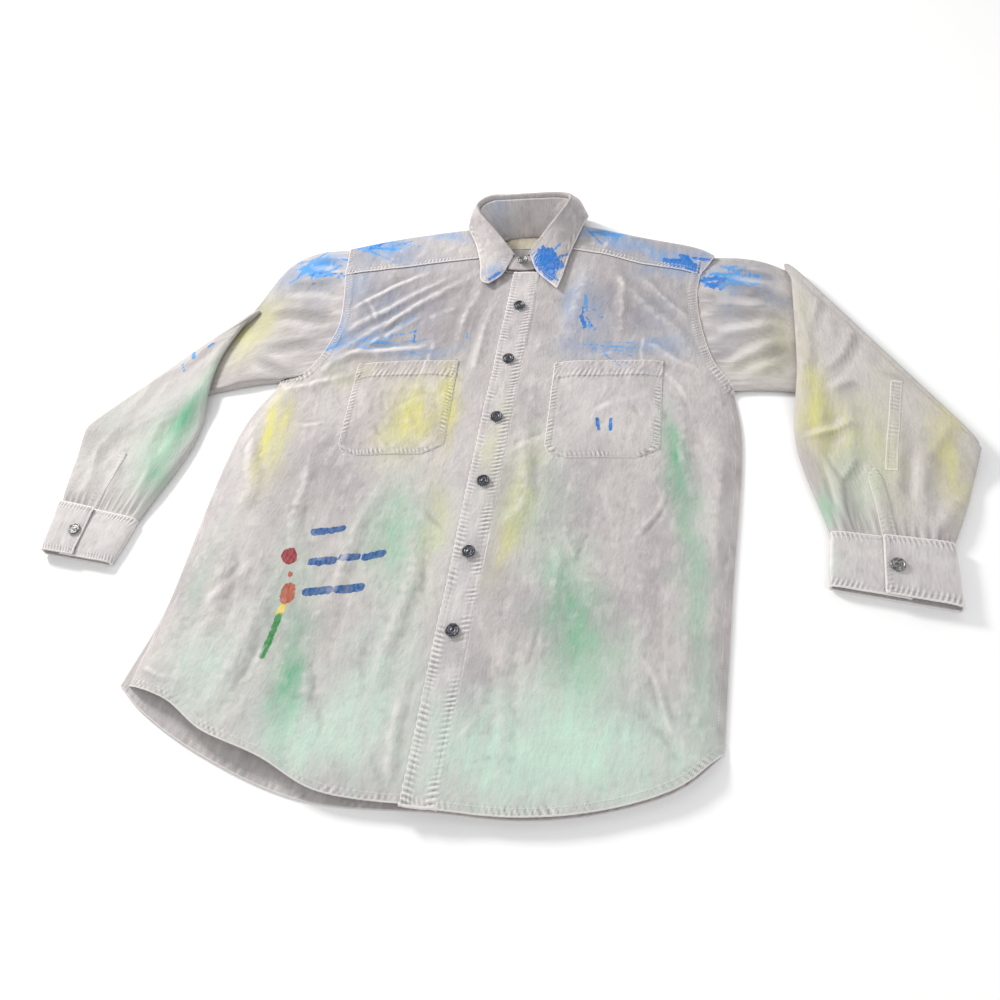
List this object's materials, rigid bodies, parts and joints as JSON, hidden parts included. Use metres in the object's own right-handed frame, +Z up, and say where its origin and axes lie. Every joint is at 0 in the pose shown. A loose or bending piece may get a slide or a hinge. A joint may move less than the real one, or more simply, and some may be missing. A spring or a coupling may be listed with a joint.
{
  "type": "painting smock shirt",
  "caption": "Long-sleeved button-front cotton shirt worn as a painting smock, laid flat on its back with sleeves folded at the elbow, paint-stained.",
  "frame": {"origin": "on the surface the shirt lies on, under the middle of its bounding box", "axes": "+X towards the wearer's left side, +Y from hem to collar, +Z up from the back panel through the front"},
  "size_m": [1.0762, 0.8674, 0.0559],
  "materials": {
    "cotton_twill": "washed off-white cotton twill with paint stains",
    "inner_twill": "unstained inner face of the same twill",
    "woven_tape": "plain woven label tape",
    "gunmetal": "dark gunmetal, satin",
    "pewter": "antique pewter, satin"
  },
  "bodies": {
    "shirt": {"back_panel": "cotton_twill", "yoke_outer": "cotton_twill", "yoke_lining": "inner_twill", "left_front": "cotton_twill", "right_front": "cotton_twill", "button_band": "inner_twill", "placket_facing": "inner_twill", "placket_interlining": "inner_twill", "placket_outer": "cotton_twill", "left_pocket": "cotton_twill", "right_pocket": "cotton_twill", "collar_band_lining": "inner_twill", "collar_band_interlining": "inner_twill", "collar_band_outer": "cotton_twill", "collar_back_under": "inner_twill", "collar_back_upper": "cotton_twill", "neck_label": "woven_tape", "left_sleeve_upper": "cotton_twill", "right_sleeve_upper": "cotton_twill", "front_button_1_tack": "gunmetal", "front_button_2_tack": "gunmetal", "front_button_3_tack": "gunmetal", "front_button_4_tack": "gunmetal", "front_button_5_tack": "gunmetal", "front_button_6_tack": "gunmetal", "collar_button_tack": "pewter"},
    "left_forearm": {"left_sleeve_forearm": "cotton_twill", "left_sleeve_placket": "cotton_twill", "left_cuff_outer": "cotton_twill", "left_cuff_lining": "inner_twill", "left_cuff_button_tack": "pewter"},
    "right_forearm": {"right_sleeve_forearm": "cotton_twill", "right_sleeve_placket": "cotton_twill", "right_cuff_outer": "cotton_twill", "right_cuff_lining": "inner_twill", "right_cuff_button_tack": "pewter"},
    "left_collar_wing": {"left_collar_wing_under": "inner_twill", "left_collar_wing_upper": "cotton_twill"},
    "right_collar_wing": {"right_collar_wing_under": "inner_twill", "right_collar_wing_upper": "cotton_twill"},
    "front_button_1": {"front_button_1_head": "gunmetal"},
    "front_button_2": {"front_button_2_head": "gunmetal"},
    "front_button_3": {"front_button_3_head": "gunmetal"},
    "front_button_4": {"front_button_4_head": "gunmetal"},
    "front_button_5": {"front_button_5_head": "gunmetal"},
    "front_button_6": {"front_button_6_head": "gunmetal"},
    "collar_button": {"collar_button_head": "pewter"},
    "left_cuff_button": {"left_cuff_button_head": "pewter"},
    "right_cuff_button": {"right_cuff_button_head": "pewter"}
  },
  "joints": [
    {"name": "left_elbow_fold", "type": "hinge", "parent": "shirt", "child": "left_forearm", "pos_m": [0.44423, 0.16112, 0.0098], "axis": [-0.5527, 0.8334, 0], "range_deg": [0, 180]},
    {"name": "right_elbow_fold", "type": "hinge", "parent": "shirt", "child": "right_forearm", "pos_m": [-0.45377, 0.12012, 0.0098], "axis": [-0.6198, -0.7848, 0], "range_deg": [0, 180]},
    {"name": "left_wing_fold", "type": "hinge", "parent": "shirt", "child": "left_collar_wing", "pos_m": [0.00773, 0.31912, 0.023], "axis": [-0.537, -0.7832, -0.3133], "range_deg": [0, 60]},
    {"name": "right_wing_fold", "type": "hinge", "parent": "shirt", "child": "right_collar_wing", "pos_m": [-0.01327, 0.31812, 0.023], "axis": [-0.6459, 0.7163, 0.2642], "range_deg": [0, 60]},
    {"name": "front_button_1_swivel", "type": "hinge", "parent": "shirt", "child": "front_button_1", "pos_m": [0.00713, 0.22512, 0.017], "axis": [0, 0, 1], "continuous": true},
    {"name": "front_button_2_swivel", "type": "hinge", "parent": "shirt", "child": "front_button_2", "pos_m": [0.00713, 0.13012, 0.017], "axis": [0, 0, 1], "continuous": true},
    {"name": "front_button_3_swivel", "type": "hinge", "parent": "shirt", "child": "front_button_3", "pos_m": [0.00713, 0.03513, 0.017], "axis": [0, 0, 1], "continuous": true},
    {"name": "front_button_4_swivel", "type": "hinge", "parent": "shirt", "child": "front_button_4", "pos_m": [0.00713, -0.05987, 0.017], "axis": [0, 0, 1], "continuous": true},
    {"name": "front_button_5_swivel", "type": "hinge", "parent": "shirt", "child": "front_button_5", "pos_m": [0.00713, -0.15488, 0.017], "axis": [0, 0, 1], "continuous": true},
    {"name": "front_button_6_swivel", "type": "hinge", "parent": "shirt", "child": "front_button_6", "pos_m": [0.00713, -0.24988, 0.017], "axis": [0, 0, 1], "continuous": true},
    {"name": "collar_button_swivel", "type": "hinge", "parent": "shirt", "child": "collar_button", "pos_m": [0.00073, 0.30712, 0.0224], "axis": [0, 0, 1], "continuous": true},
    {"name": "left_cuff_button_swivel", "type": "hinge", "parent": "left_forearm", "child": "left_cuff_button", "pos_m": [0.44208, -0.14315, 0.0151], "axis": [0, 0, 1], "continuous": true},
    {"name": "right_cuff_button_swivel", "type": "hinge", "parent": "right_forearm", "child": "right_cuff_button", "pos_m": [-0.48244, -0.151, 0.0151], "axis": [0, 0, 1], "continuous": true}
  ]
}
